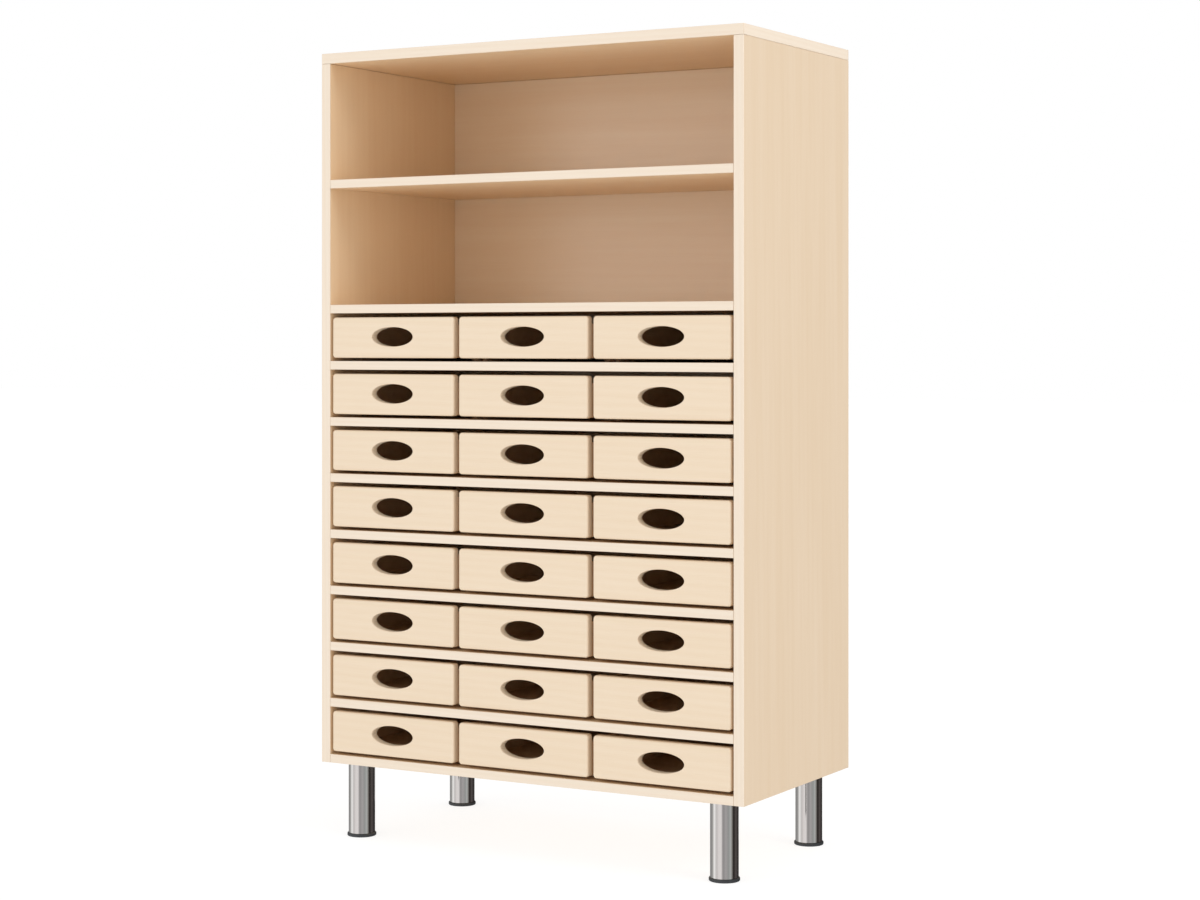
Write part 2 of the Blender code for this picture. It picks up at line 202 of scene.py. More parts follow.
@dataclass(frozen=True)
class WoodFinish:
    """A lacquered wood surface, with another look on the faces that cut across its fibres or layers."""

    name: str
    pale: str
    deep: str
    fibre: str
    cut: str
    grain: WoodGrain
    ring_share: float
    figure_share: float
    fibre_share: float
    roughness: float
    relief_mm: float
    coat: float = 0.0

    def material(self, along: Axis, cut_axes: tuple[Axis, ...]) -> bpy.types.Material:
        """Build the material for boards that lie one way.

        Args:
            along: The axis of the grain.
            cut_axes: The axes along which a face looks when it shows the cut colour.

        Returns:
            The material, made on first use.
        """
        name = f"{self.name}_along_{along.name.lower()}_cut_{''.join(axis.name.lower() for axis in cut_axes)}"
        if name in bpy.data.materials:
            return bpy.data.materials[name]
        material, tree, shader = new_material(name)
        rings = self.grain.rings(tree, along)
        figure = self.grain.figure(tree, along)
        fibres = self.grain.fibres(tree, along)
        tone = self.weighed(tree, [(rings, self.ring_share), (figure, self.figure_share)])
        wood = add_node(
            tree,
            "ShaderNodeMix",
            {MIX_FACTOR: tone, MIX_A: linear(self.pale), MIX_B: linear(self.deep)},
            data_type="RGBA",
        ).outputs[MIX_RESULT]
        streak = self.stretch_contrast(tree, fibres, 0.52, 0.78, self.fibre_share)
        streaked = add_node(
            tree,
            "ShaderNodeMix",
            {MIX_FACTOR: streak, MIX_A: wood, MIX_B: linear(self.fibre)},
            data_type="RGBA",
        ).outputs[MIX_RESULT]
        cut = self.cut_mask(tree, cut_axes)
        coloured = add_node(
            tree,
            "ShaderNodeMix",
            {MIX_FACTOR: cut, MIX_A: streaked, MIX_B: linear(self.cut)},
            data_type="RGBA",
        ).outputs[MIX_RESULT]
        tree.links.new(coloured, shader.inputs["Base Color"])
        rough = self.stretch_contrast(tree, fibres, 0.3, 0.7, 0.08)
        dull = add_node(tree, "ShaderNodeMath", {0: rough, 1: self.roughness}, operation="ADD").outputs[0]
        duller = add_node(tree, "ShaderNodeMath", {0: cut, 1: 0.2, 2: dull}, operation="MULTIPLY_ADD").outputs[0]
        tree.links.new(duller, shader.inputs["Roughness"])
        relief = add_node(
            tree,
            "ShaderNodeBump",
            {"Height": fibres, "Strength": 0.35, "Distance": self.relief_mm * MILLIMETRE},
        ).outputs["Normal"]
        tree.links.new(relief, shader.inputs["Normal"])
        shader.inputs["Coat Weight"].default_value = self.coat
        shader.inputs["Coat Roughness"].default_value = self.roughness
        return material

    def weighed(
        self, tree: bpy.types.NodeTree, parts: list[tuple[bpy.types.NodeSocket, float]]
    ) -> bpy.types.NodeSocket:
        """Add up patterns, each about its own middle, around a tone of one half.

        Args:
            tree: The material's tree.
            parts: Each pattern with its share.

        Returns:
            The summed tone.
        """
        total: bpy.types.NodeSocket | float = 0.5 - sum(share for _, share in parts) / 2
        for pattern, share in parts:
            total = add_node(
                tree, "ShaderNodeMath", {0: pattern, 1: share, 2: total}, operation="MULTIPLY_ADD"
            ).outputs[0]
        return total

    def stretch_contrast(
        self, tree: bpy.types.NodeTree, pattern: bpy.types.NodeSocket, low: float, high: float, share: float
    ) -> bpy.types.NodeSocket:
        """Map a pattern's range to 0 .. share.

        Args:
            tree: The material's tree.
            pattern: The pattern.
            low: Where it starts to count.
            high: Where it counts in full.
            share: What it then gives.

        Returns:
            The mapped pattern.
        """
        return add_node(
            tree,
            "ShaderNodeMapRange",
            {"Value": pattern, "From Min": low, "From Max": high, "To Min": 0.0, "To Max": share},
        ).outputs["Result"]

    def cut_mask(self, tree: bpy.types.NodeTree, cut_axes: tuple[Axis, ...]) -> bpy.types.NodeSocket:
        """1 on the faces that look along the cut axes, and 0 elsewhere.

        Args:
            tree: The material's tree.
            cut_axes: The axes.

        Returns:
            The mask.
        """
        normal = add_node(tree, "ShaderNodeTexCoord").outputs["Normal"]
        parts = add_node(tree, "ShaderNodeSeparateXYZ", {"Vector": normal}).outputs
        total: bpy.types.NodeSocket | float = 0.0
        for axis in cut_axes:
            part = parts[axis.value]
            total = add_node(tree, "ShaderNodeMath", {0: part, 1: part, 2: total}, operation="MULTIPLY_ADD").outputs[0]
        return self.stretch_contrast(tree, total, 0.45, 0.8, 1.0)


BIRCH_FIGURE = WoodGrain(
    ring_mm=9, ring_length_mm=420, figure_mm=30, figure_length_mm=600, fibre_mm=1.6, fibre_length_mm=90
)

# Birch laminate on chipboard, pressed and satin: calm broad bands, hardly any pore, and a soft sheen.
LAMINATE = WoodFinish(
    name="birch_laminate_on_chipboard",
    pale="#EAD5BB",
    deep="#E3CAAA",
    fibre="#D9BD99",
    cut="#CFB48E",
    grain=BIRCH_FIGURE,
    ring_share=0.1,
    figure_share=1.1,
    fibre_share=0.22,
    roughness=0.34,
    relief_mm=0.02,
)

# The same laminate on the faces inside the carcass, painted brighter and warmer: painted light, standing in for the
# light bounced inside the bays.
LAMINATE_PAINTED_BOUNCE_LIGHT = replace(
    LAMINATE, name="fresh_birch_laminate_inside", pale="#F7DCB7", deep="#F0D0A8", fibre="#E6C497", cut="#DBBA8C"
)

# The back board, laminated on its face under a thicker, shinier lacquer; its sheet is painted paler and less amber:
# painted light, standing in for the sheen and the light bounced inside the bays.
BACK_LAMINATE_PAINTED_LIGHT = replace(
    LAMINATE,
    name="shiny_birch_laminate_back",
    pale="#F5E1C4",
    deep="#EED3B2",
    fibre="#E4C7A0",
    cut="#D9BD95",
    coat=0.7,
)

# Solid birch, planed, sanded and lacquered matt: paler, with short fine fibres; the end grain hardly shows.
SOLID_BIRCH = WoodFinish(
    name="lacquered_solid_birch",
    pale="#F0DDC4",
    deep="#EBD5B8",
    fibre="#E2C9A8",
    cut="#EAD4B8",
    grain=WoodGrain(
        ring_mm=7, ring_length_mm=260, figure_mm=30, figure_length_mm=300, fibre_mm=0.9, fibre_length_mm=45
    ),
    ring_share=0.3,
    figure_share=0.7,
    fibre_share=0.4,
    roughness=0.4,
    relief_mm=0.03,
)

# The trays' walls, of the same birch, planed, and painted a little more amber: painted light, standing in for the warm
# light bounced inside the trays.
TRAY_WALL_BIRCH_PAINTED_BOUNCE = replace(
    SOLID_BIRCH, name="planed_birch_tray_wall", pale="#F4D5B1", deep="#EFCDA6", fibre="#E6C198", cut="#DCB88F"
)

# Solid birch edge strip, glued on and sanded flush: the palest wood here, with fine lengthwise lines.
EDGE_BIRCH = WoodFinish(
    name="birch_edge_strip",
    pale="#F3E5D3",
    deep="#EEDCC6",
    fibre="#E8D2B6",
    cut="#E2CBAE",
    grain=WoodGrain(
        ring_mm=4, ring_length_mm=300, figure_mm=12, figure_length_mm=350, fibre_mm=0.8, fibre_length_mm=80
    ),
    ring_share=0.3,
    figure_share=0.6,
    fibre_share=0.4,
    roughness=0.42,
    relief_mm=0.02,
)

# Thin birch plywood, rotary cut: a broad, cloudy figure, browner than sawn wood, and dull.
BIRCH_PLYWOOD = WoodFinish(
    name="thin_birch_plywood",
    pale="#F4D4B1",
    deep="#E8C29A",
    fibre="#D6AF84",
    cut="#B08C5F",
    grain=WoodGrain(
        ring_mm=22, ring_length_mm=150, figure_mm=55, figure_length_mm=230, fibre_mm=1.2, fibre_length_mm=40,
        waviness=14.0,
    ),
    ring_share=0.22,
    figure_share=1.2,
    fibre_share=0.4,
    roughness=0.55,
    relief_mm=0.04,
)

# Beech dowel rod, fluted and raw: reddish, dry and short in the fibre.
BEECH = WoodFinish(
    name="raw_fluted_beech",
    pale="#CFA878",
    deep="#BB8F5F",
    fibre="#9C7147",
    cut="#A57B4F",
    grain=WoodGrain(
        ring_mm=2, ring_length_mm=60, figure_mm=6, figure_length_mm=60, fibre_mm=0.5, fibre_length_mm=6
    ),
    ring_share=0.4,
    figure_share=0.5,
    fibre_share=0.5,
    roughness=0.7,
    relief_mm=0.05,
)


@dataclass(frozen=True)
class MetalFinish:
    """A bare or plated metal with fine marks left by how it was worked."""

    name: str
    colour: str
    shade: str
    mark_mm: float
    mark_length_mm: float
    roughness: float
    roughness_spread: float
    relief_mm: float

    def material(self, along: Axis) -> bpy.types.Material:
        """Build the material.

        Args:
            along: The axis that the marks follow.

        Returns:
            The material, made on first use.
        """
        if self.name in bpy.data.materials:
            return bpy.data.materials[self.name]
        material, tree, shader = new_material(self.name)
        scale = [1 / (self.mark_mm * MILLIMETRE)] * 3
        scale[along.value] = 1 / (self.mark_length_mm * MILLIMETRE)
        place = add_node(tree, "ShaderNodeTexCoord").outputs["Object"]
        drawn = add_node(tree, "ShaderNodeMapping", {"Vector": place, "Scale": scale}).outputs["Vector"]
        marks = add_node(
            tree, "ShaderNodeTexNoise", {"Vector": drawn, "Scale": 1.0, "Detail": 3.0, "Roughness": 0.6}
        ).outputs["Fac"]
        colour = add_node(
            tree,
            "ShaderNodeMix",
            {MIX_FACTOR: marks, MIX_A: linear(self.colour), MIX_B: linear(self.shade)},
            data_type="RGBA",
        ).outputs[MIX_RESULT]
        rough = add_node(
            tree,
            "ShaderNodeMath",
            {0: marks, 1: self.roughness_spread, 2: self.roughness},
            operation="MULTIPLY_ADD",
        ).outputs[0]
        relief = add_node(
            tree,
            "ShaderNodeBump",
            {"Height": marks, "Strength": 0.3, "Distance": self.relief_mm * MILLIMETRE},
        ).outputs["Normal"]
        tree.links.new(colour, shader.inputs["Base Color"])
        tree.links.new(rough, shader.inputs["Roughness"])
        tree.links.new(relief, shader.inputs["Normal"])
        shader.inputs["Metallic"].default_value = 1.0
        return material


# Steel tube, drawn and polished bright: crisp reflections, drawn out a little by lengthwise polishing.
POLISHED_STEEL = MetalFinish(
    name="polished_drawn_steel",
    colour="#EEECEA",
    shade="#E2DFDC",
    mark_mm=0.6,
    mark_length_mm=40,
    roughness=0.07,
    roughness_spread=0.05,
    relief_mm=0.002,
)

# Zinc plated steel, bright passivated: greyer and cloudier than polished steel.
ZINC_PLATE = MetalFinish(
    name="zinc_plated_steel",
    colour="#C4C7CC",
    shade="#A9ADB4",
    mark_mm=1.5,
    mark_length_mm=1.5,
    roughness=0.28,
    roughness_spread=0.15,
    relief_mm=0.01,
)


@dataclass(frozen=True)
class PlasticFinish:
    """Moulded plastic with the fine spark-eroded grain of its mould."""

    name: str
    colour: str
    worn: str
    texture_mm: float
    roughness: float
    relief_mm: float

    def material(self) -> bpy.types.Material:
        """Build the material, or return it if it is already there."""
        if self.name in bpy.data.materials:
            return bpy.data.materials[self.name]
        material, tree, shader = new_material(self.name)
        place = add_node(tree, "ShaderNodeTexCoord").outputs["Object"]
        grain = add_node(
            tree,
            "ShaderNodeTexNoise",
            {"Vector": place, "Scale": 1 / (self.texture_mm * MILLIMETRE), "Detail": 3.0, "Roughness": 0.7},
        ).outputs["Fac"]
        colour = add_node(
            tree,
            "ShaderNodeMix",
            {MIX_FACTOR: grain, MIX_A: linear(self.colour), MIX_B: linear(self.worn)},
            data_type="RGBA",
        ).outputs[MIX_RESULT]
        rough = add_node(
            tree, "ShaderNodeMath", {0: grain, 1: 0.12, 2: self.roughness}, operation="MULTIPLY_ADD"
        ).outputs[0]
        relief = add_node(
            tree,
            "ShaderNodeBump",
            {"Height": grain, "Strength": 0.4, "Distance": self.relief_mm * MILLIMETRE},
        ).outputs["Normal"]
        tree.links.new(colour, shader.inputs["Base Color"])
        tree.links.new(rough, shader.inputs["Roughness"])
        tree.links.new(relief, shader.inputs["Normal"])
        return material


# Polypropylene glide, injection moulded in black: charcoal with a soft broad highlight.
GLIDE_PLASTIC = PlasticFinish(
    name="moulded_black_polypropylene",
    colour="#303235",
    worn="#3D4043",
    texture_mm=0.5,
    roughness=0.38,
    relief_mm=0.02,
)


class Workpiece:
    """One mesh object on the bench, with the operators that shape it."""

    def __init__(self, obj: bpy.types.Object) -> None:
        """Take hold of an object whose place is in its mesh."""
        self.obj = obj

    @staticmethod
    def clear_bench() -> None:
        """Leave nothing selected, in object mode."""
        if bpy.context.object and bpy.context.object.mode != "OBJECT":
            bpy.ops.object.mode_set(mode="OBJECT")
        bpy.ops.object.select_all(action="DESELECT")

    @classmethod
    def adopt_primitive(cls, name: str) -> "Workpiece":
        """Name the primitive just added and put its place into its mesh."""
        obj = bpy.context.object
        obj.name = name
        obj.data.name = name
        bpy.ops.object.transform_apply(location=True, rotation=True, scale=True)
        return cls(obj)

    @classmethod
    def block(cls, name: str, low: Iterable[float], high: Iterable[float]) -> "Workpiece":
        """Add a block between two corners.

        Args:
            name: The piece's name.
            low: Its lowest corner.
            high: Its highest corner.

        Returns:
            The new workpiece.
        """
        low, high = Vector(low), Vector(high)
        cls.clear_bench()
        bpy.ops.mesh.primitive_cube_add(size=1, location=(low + high) / 2, scale=high - low)
        return cls.adopt_primitive(name)

    @classmethod
    def rod(
        cls, name: str, radius: float, start: Iterable[float], end: Iterable[float], steps: int = 32, fill: str = "NGON"
    ) -> "Workpiece":
        """Add a round rod between two points.

        Args:
            name: The piece's name.
            radius: Its radius.
            start: The middle of its first end.
            end: The middle of its other end.
            steps: How many sides it has.
            fill: How its ends are filled.

        Returns:
            The new workpiece.
        """
        start, end = Vector(start), Vector(end)
        along = end - start
        cls.clear_bench()
        bpy.ops.mesh.primitive_cylinder_add(
            vertices=steps,
            radius=radius,
            depth=along.length,
            end_fill_type=fill,
            location=(start + end) / 2,
            rotation=along.to_track_quat("Z", "Y").to_euler(),
        )
        return cls.adopt_primitive(name)

    def grab(self) -> None:
        """Make this the only selected and the active object."""
        self.clear_bench()
        self.obj.select_set(True)
        bpy.context.view_layer.objects.active = self.obj

    def select_edges(self, test: EdgeTest) -> None:
        """Enter edit mode with only the edges that pass a test selected.

        Args:
            test: Says whether an edge is wanted.
        """
        self.grab()
        bpy.ops.object.mode_set(mode="EDIT")
        bpy.ops.mesh.select_mode(type="EDGE")
        bpy.ops.mesh.select_all(action="DESELECT")
        shape = bmesh.from_edit_mesh(self.obj.data)
        for edge in shape.edges:
            edge.select_set(test(edge))
        bmesh.update_edit_mesh(self.obj.data)

    def select_faces(self, test: Callable[[bmesh.types.BMFace], bool]) -> None:
        """Enter edit mode with only the faces that pass a test selected.

        Args:
            test: Says whether a face is wanted.
        """
        self.grab()
        bpy.ops.object.mode_set(mode="EDIT")
        bpy.ops.mesh.select_mode(type="FACE")
        bpy.ops.mesh.select_all(action="DESELECT")
        shape = bmesh.from_edit_mesh(self.obj.data)
        for face in shape.faces:
            face.select_set(test(face))
        bmesh.update_edit_mesh(self.obj.data)

    @staticmethod
    def extend(offset: Iterable[float], scale: Iterable[float] = (1, 1, 1), centre: Iterable[float] = (0, 0, 0)) -> None:
        """In edit mode, extrude the selected faces and resize their far end.

        Args:
            offset: How far they are extruded.
            scale: The far end's growth along each axis.
            centre: The point it grows about.
        """
        bpy.ops.mesh.extrude_region_move(TRANSFORM_OT_translate={"value": tuple(offset)})
        bpy.ops.transform.resize(value=tuple(scale), center_override=tuple(centre))

    def bevel(self, width: float, segments: int, test: EdgeTest) -> "Workpiece":
        """Round the edges that pass a test.

        Args:
            width: The rounding's radius.
            segments: How many steps it has.
            test: Says whether an edge is wanted.

        Returns:
            This workpiece.
        """
        self.select_edges(test)
        bpy.ops.mesh.bevel(offset=width, segments=segments, profile=0.5, affect="EDGES")
        bpy.ops.object.mode_set(mode="OBJECT")
        return self

    def apply(self, kind: str, **settings) -> "Workpiece":
        """Add a modifier and apply it.

        Args:
            kind: The modifier's type.
            **settings: Its own properties.

        Returns:
            This workpiece.
        """
        self.grab()
        modifier = self.obj.modifiers.new(kind.lower(), kind)
        for key, value in settings.items():
            setattr(modifier, key, value)
        bpy.ops.object.modifier_apply(modifier=modifier.name)
        return self

    def break_edges(self, width: float, segments: int = 1) -> "Workpiece":
        """Take the sharpness off every sharp edge.

        Args:
            width: The rounding's radius.
            segments: How many steps it has.

        Returns:
            This workpiece.
        """
        return self.apply(
            "BEVEL", width=width, segments=segments, limit_method="ANGLE", angle_limit=math.radians(50)
        )

    def cut(self, *cutters: "Workpiece") -> "Workpiece":
        """Cut other workpieces out of this one and throw them away.

        Args:
            *cutters: The shapes to cut out. They don't touch one another.

        Returns:
            This workpiece.
        """
        if cutters:
            tool = Workpiece.joined("cutter", cutters)
            self.apply("BOOLEAN", operation="DIFFERENCE", solver="EXACT", object=tool.obj)
            bpy.data.objects.remove(tool.obj)
        return self

    @staticmethod
    def joined(name: str, workpieces: Iterable["Workpiece"]) -> "Workpiece":
        """Make one object of several.

        Args:
            name: Its name.
            workpieces: The objects, which are used up.

        Returns:
            The joined workpiece.
        """
        workpieces = list(workpieces)
        workpieces[0].grab()
        for other in workpieces[1:]:
            other.obj.select_set(True)
        if len(workpieces) > 1:
            bpy.ops.object.join()
        workpieces[0].obj.name = name
        return workpieces[0]

    def smooth(self) -> "Workpiece":
        """Shade the rounded edges softly and keep the flat faces flat."""
        self.grab()
        bpy.ops.object.shade_smooth_by_angle(angle=SMOOTH_UNDER)
        return self.apply("WEIGHTED_NORMAL", keep_sharp=True, weight=50)

    def copy(self, name: str, offset: Iterable[float]) -> "Workpiece":
        """Copy the piece, with its own mesh, to another place.

        Args:
            name: The copy's name.
            offset: How far the copy stands from this piece.

        Returns:
            The copy.
        """
        obj = self.obj.copy()
        obj.data = self.obj.data.copy()
        obj.name = name
        obj.data.name = name
        obj.data.transform(Matrix.Translation(Vector(offset)))
        bpy.context.scene.collection.objects.link(obj)
        return Workpiece(obj)

    def remove(self) -> None:
        """Throw the object away."""
        bpy.data.objects.remove(self.obj)

    def dress(
        self, material: bpy.types.Material, slot: Slot, body: str = CARCASS, nodes: tuple[str, ...] = ()
    ) -> "Workpiece":
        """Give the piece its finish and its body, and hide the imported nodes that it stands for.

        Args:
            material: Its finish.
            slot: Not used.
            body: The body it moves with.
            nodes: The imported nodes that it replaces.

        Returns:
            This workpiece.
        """
        self.obj.data.materials.clear()
        self.obj.data.materials.append(material)
        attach(self.obj, body)
        if nodes:
            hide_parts(*nodes)
        log.info("%s: %d faces, %s", self.obj.name, len(self.obj.data.polygons), material.name)
        return self

    def line(self, material: bpy.types.Material, test: Callable[[bpy.types.MeshPolygon], bool]) -> "Workpiece":
        """Give some faces of a dressed piece a second finish.

        Args:
            material: The second finish.
            test: Says whether a face takes it.

        Returns:
            This workpiece.
        """
        self.obj.data.materials.append(material)
        for face in self.obj.data.polygons:
            if test(face):
                face.material_index = 1
        return self


def looks_along(axis: Axis, way: int = 0) -> Callable[[bpy.types.MeshPolygon], bool]:
    """A test for faces that look along an axis.

    Args:
        axis: The axis.
        way: -1 or 1 for one way, or 0 for both.

    Returns:
        The test.
    """
    if way:
        return lambda face: face.normal[axis.value] * way > FACES_STRAIGHT
    return lambda face: abs(face.normal[axis.value]) > FACES_STRAIGHT


def lies_at(axis: Axis, place: float) -> EdgeTest:
    """A test for edges that lie in one plane.

    Args:
        axis: The plane's normal.
        place: Where the plane is on that axis.

    Returns:
        The test.
    """
    return lambda edge: all(abs(vert.co[axis.value] - place) < SAME_PLACE for vert in edge.verts)


def runs_along(axis: Axis) -> EdgeTest:
    """A test for edges that run along an axis.

    Args:
        axis: The axis.

    Returns:
        The test.
    """

    def test(edge: bmesh.types.BMEdge) -> bool:
        run = edge.verts[1].co - edge.verts[0].co
        return abs(run[axis.value]) > run.length - SAME_PLACE

    return test


@dataclass
class Dowels:
    """Fluted dowels with tapered ends, turned from one model."""

    diameter: float = 0.008
    flutes: int = 12
    flute_share: float = 0.93
    taper: float = 0.001
    taper_share: float = 0.8
    bore_gap: float = 0.0003

    def model(self, length: float) -> Workpiece:
        """One dowel of a length, along X about the origin.

        Args:
            length: Its length over the tapered ends.

        Returns:
            The dowel.
        """
        half = length / 2 - self.taper
        dowel = Workpiece.rod("dowel", self.diameter / 2, (-half, 0, 0), (half, 0, 0), 2 * self.flutes)
        step = math.pi / self.flutes
        dowel.select_edges(
            lambda edge: runs_along(Axis.X)(edge)
            and round(math.atan2(edge.verts[0].co.y, edge.verts[0].co.z) / step) % 2 == 1
        )
        bpy.ops.transform.resize(value=(1, self.flute_share, self.flute_share), center_override=(0, 0, 0))
        for sign in (-1, 1):
            dowel.select_faces(lambda face: face.normal.x * sign > 1 - SAME_PLACE)
            dowel.extend((sign * self.taper, 0, 0), (1, self.taper_share, self.taper_share))
        bpy.ops.object.mode_set(mode="OBJECT")
        return dowel

    def set(self, name: str, spans: list[tuple[Vector, Vector]]) -> Workpiece:
        """The dowels between pairs of points, as one piece.

        Args:
            name: The piece's name.
            spans: Each dowel's ends.

        Returns:
            The piece.
        """
        dowels = []
        for start, end in spans:
            dowel = self.model((end - start).length)
            turn = (end - start).to_track_quat("X", "Z").to_matrix().to_4x4()
            dowel.obj.data.transform(Matrix.Translation((start + end) / 2) @ turn)
            dowels.append(dowel)
        return Workpiece.joined(name, dowels)

    def bores(self, spans: Iterable[tuple[Vector, Vector]]) -> list[Workpiece]:
        """Cutters for the bores that take some dowels.

        Args:
            spans: Each dowel's ends.

        Returns:
            The cutters.
        """
        cutters = []
        for start, end in spans:
            extra = (end - start).normalized() * self.bore_gap
            radius = self.diameter / 2 + self.bore_gap
            cutters.append(Workpiece.rod("bore", radius, start - extra, end + extra, 2 * self.flutes))
        return cutters


@dataclass
class Carcass:
    """The boards, their edge strips and their dowels."""

    strip: float = 0.0015
    strip_rounding: float = 0.0009
    core_edge: float = 0.00015
    seam_edge: float = 0.0006
    joint_gap: float = 0.0003
    dowel_reach: float = 0.011
    dowel_inset: float = 0.055
    back_lap: float = 0.009
    countersink_radius: float = 0.0083
    bolt_bore_radius: float = 0.0043
    countersink_depth: float = 0.0045
    head_recess: float = 0.0005

    def __post_init__(self) -> None:
        """Read the boards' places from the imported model."""
        self.dowels = Dowels()
        self.front_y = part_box("bottom_panel")[0].y
        self.rear_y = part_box("back_panel")[1].y
        self.back_face_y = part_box("back_panel")[0].y - self.joint_gap
        self.inner_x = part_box("right_side_panel")[0].x
        self.cross_boards = ["bottom_panel", "open_shelf_1"]
        self.cross_boards += sorted(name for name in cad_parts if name.startswith("tray_shelf_"))

    def build(self) -> None:
        """Make and dress every board, and the dowels between them."""
        self.top()
        for name, side in (("left_side_panel", -1), ("right_side_panel", 1)):
            self.side(name, side)
        self.back()
        for name in self.cross_boards:
            self.cross_board(name)
        spans = [span for _, span in self.top_dowel_spans()]
        nodes = tuple(name for name, _ in self.top_dowel_spans())
        material = BEECH.material(Axis.Z, (Axis.Z,))
        self.dowels.set("top_dowels", spans).smooth().dress(material, Slot.DOWEL, nodes=nodes)

    def edge_strip(self, name: str, side: Side, low: Vector, high: Vector) -> None:
        """Glue a solid strip to one edge of a board and round its outer edges.

        Args:
            name: The strip's name.
            side: The edge it covers.
            low: Its lowest corner.
            high: Its highest corner.
        """
        axis, sign = side.value
        outer = high[axis.value] if sign > 0 else low[axis.value]
        size = high - low
        along = Axis(max(range(3), key=lambda index: size[index]))
        strip = Workpiece.block(name, low, high)
        strip.bevel(self.strip_rounding, 3, lies_at(axis, outer)).smooth()
        strip.dress(EDGE_BIRCH.material(along, (along,)), Slot.LAMINATE)

    def edged(self, name: str, low: Vector, high: Vector, sides: tuple[Side, ...]) -> Workpiece:
        """A board's core, with strips glued to the edges that show. The first two run past the others.

        Args:
            name: The board's name.
            low: The lowest corner of the whole board.
            high: Its highest corner.
            sides: The edges that take a strip.

        Returns:
            The core, still to be cut and dressed.
        """
        low, high = low.copy(), high.copy()
        for side in sides:
            axis, sign = side.value
            strip_low, strip_high = low.copy(), high.copy()
            if sign > 0:
                high[axis.value] -= self.strip
                strip_low[axis.value] = high[axis.value]
            else:
                low[axis.value] += self.strip
                strip_high[axis.value] = low[axis.value]
            self.edge_strip(f"{name}_{side.name.lower()}_strip", side, strip_low, strip_high)
        return Workpiece.block(f"{name}_board", low, high)

    def top(self) -> None:
        """The board over both sides, with strips on all four edges."""
        low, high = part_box("top_panel")
        board = self.edged("top", low, high, (Side.FRONT, Side.REAR, Side.LEFT, Side.RIGHT))
        board.break_edges(self.core_edge)
        board.cut(*self.dowels.bores(span for _, span in self.top_dowel_spans())).smooth()
        board.dress(LAMINATE.material(Axis.X, (Axis.X, Axis.Y)), Slot.LAMINATE, nodes=("top_panel",))
        # Painted light: the underside takes the brighter, warmer laminate that stands in for light bounced inside the
        # bays.
        board.line(LAMINATE_PAINTED_BOUNCE_LIGHT.material(Axis.X, (Axis.X, Axis.Y)), looks_along(Axis.Z, -1))

    def side(self, node: str, sign: int) -> None:
        """An upright board, rebated for the back and bored for its neighbours' dowels.

        Args:
            node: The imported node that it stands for.
            sign: -1 on the left and 1 on the right.
        """
        low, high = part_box(node)
        name = node.removesuffix("_panel")
        board = self.edged(name, low, high, (Side.FRONT,))
        lap_x = sign * (self.inner_x + self.back_lap)
        start_x = sign * (self.inner_x - CUT_OVERRUN)
        rebate_low = (min(start_x, lap_x), self.back_face_y, low.z - CUT_OVERRUN)
        rebate_high = (max(start_x, lap_x), high.y + CUT_OVERRUN, high.z + CUT_OVERRUN)
        board.cut(Workpiece.block("rebate", rebate_low, rebate_high))
        along_top, at_top = runs_along(Axis.Y), lies_at(Axis.Z, high.z)
        at_face, at_back = lies_at(Axis.X, sign * self.inner_x), lies_at(Axis.Y, self.back_face_y)
        board.bevel(
            self.seam_edge,
            1,
            lambda edge: (along_top(edge) and at_top(edge)) or (at_face(edge) and at_back(edge)),
        ).break_edges(self.core_edge)
        spans = [span for name, span in self.top_dowel_spans() if span[0].x * sign > 0]
        for cross in self.cross_boards:
            spans += self.end_dowel_spans(cross, sign)
        board.cut(*self.dowels.bores(spans)).smooth()
        board.dress(LAMINATE.material(Axis.Z, (Axis.Y, Axis.Z)), Slot.LAMINATE, nodes=(node,))
        # Painted light: the inner face takes the brighter, warmer laminate that stands in for light bounced inside the
        # bays.
        board.line(LAMINATE_PAINTED_BOUNCE_LIGHT.material(Axis.Z, (Axis.Y, Axis.Z)), looks_along(Axis.X, -sign))

    def back(self) -> None:
        """The thin board in the sides' rebates."""
        low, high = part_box("back_panel")
        board = Workpiece.block("back_board", low, high)
        at_top, at_face = lies_at(Axis.Z, high.z), lies_at(Axis.Y, low.y)
        board.bevel(self.seam_edge, 1, lambda edge: at_top(edge) and at_face(edge))
        board.break_edges(self.core_edge).smooth()
        board.dress(LAMINATE.material(Axis.X, (Axis.X, Axis.Z)), Slot.LAMINATE, nodes=("back_panel",))
        # Painted light: the back's face takes the paler laminate that stands in for its sheen and the light bounced
        # inside the bays.
        board.line(BACK_LAMINATE_PAINTED_LIGHT.material(Axis.X, (Axis.X, Axis.Z)), looks_along(Axis.Y, -1))

    def cross_board(self, node: str) -> None:
        """A board between the sides, with its strip, its dowels and, in the lowest one, its bolt holes.

        Args:
            node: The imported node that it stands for.
        """
        low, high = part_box(node)
        low.x = -self.inner_x + self.joint_gap
        high.x = self.inner_x - self.joint_gap
        name = node.removesuffix("_panel")
        board = self.edged(name, low, high, (Side.FRONT,))
        along_back, at_back = runs_along(Axis.X), lies_at(Axis.Y, high.y)
        board.bevel(self.seam_edge, 1, lambda edge: along_back(edge) and at_back(edge))
        board.break_edges(self.core_edge)
        spans = self.end_dowel_spans(node, -1) + self.end_dowel_spans(node, 1)
        cutters = self.dowels.bores(spans)
        if node == "bottom_panel":
            cutters += self.bolt_holes(high.z)
        board.cut(*cutters).smooth()
        board.dress(LAMINATE.material(Axis.X, (Axis.X, Axis.Y)), Slot.LAMINATE, nodes=(node,))
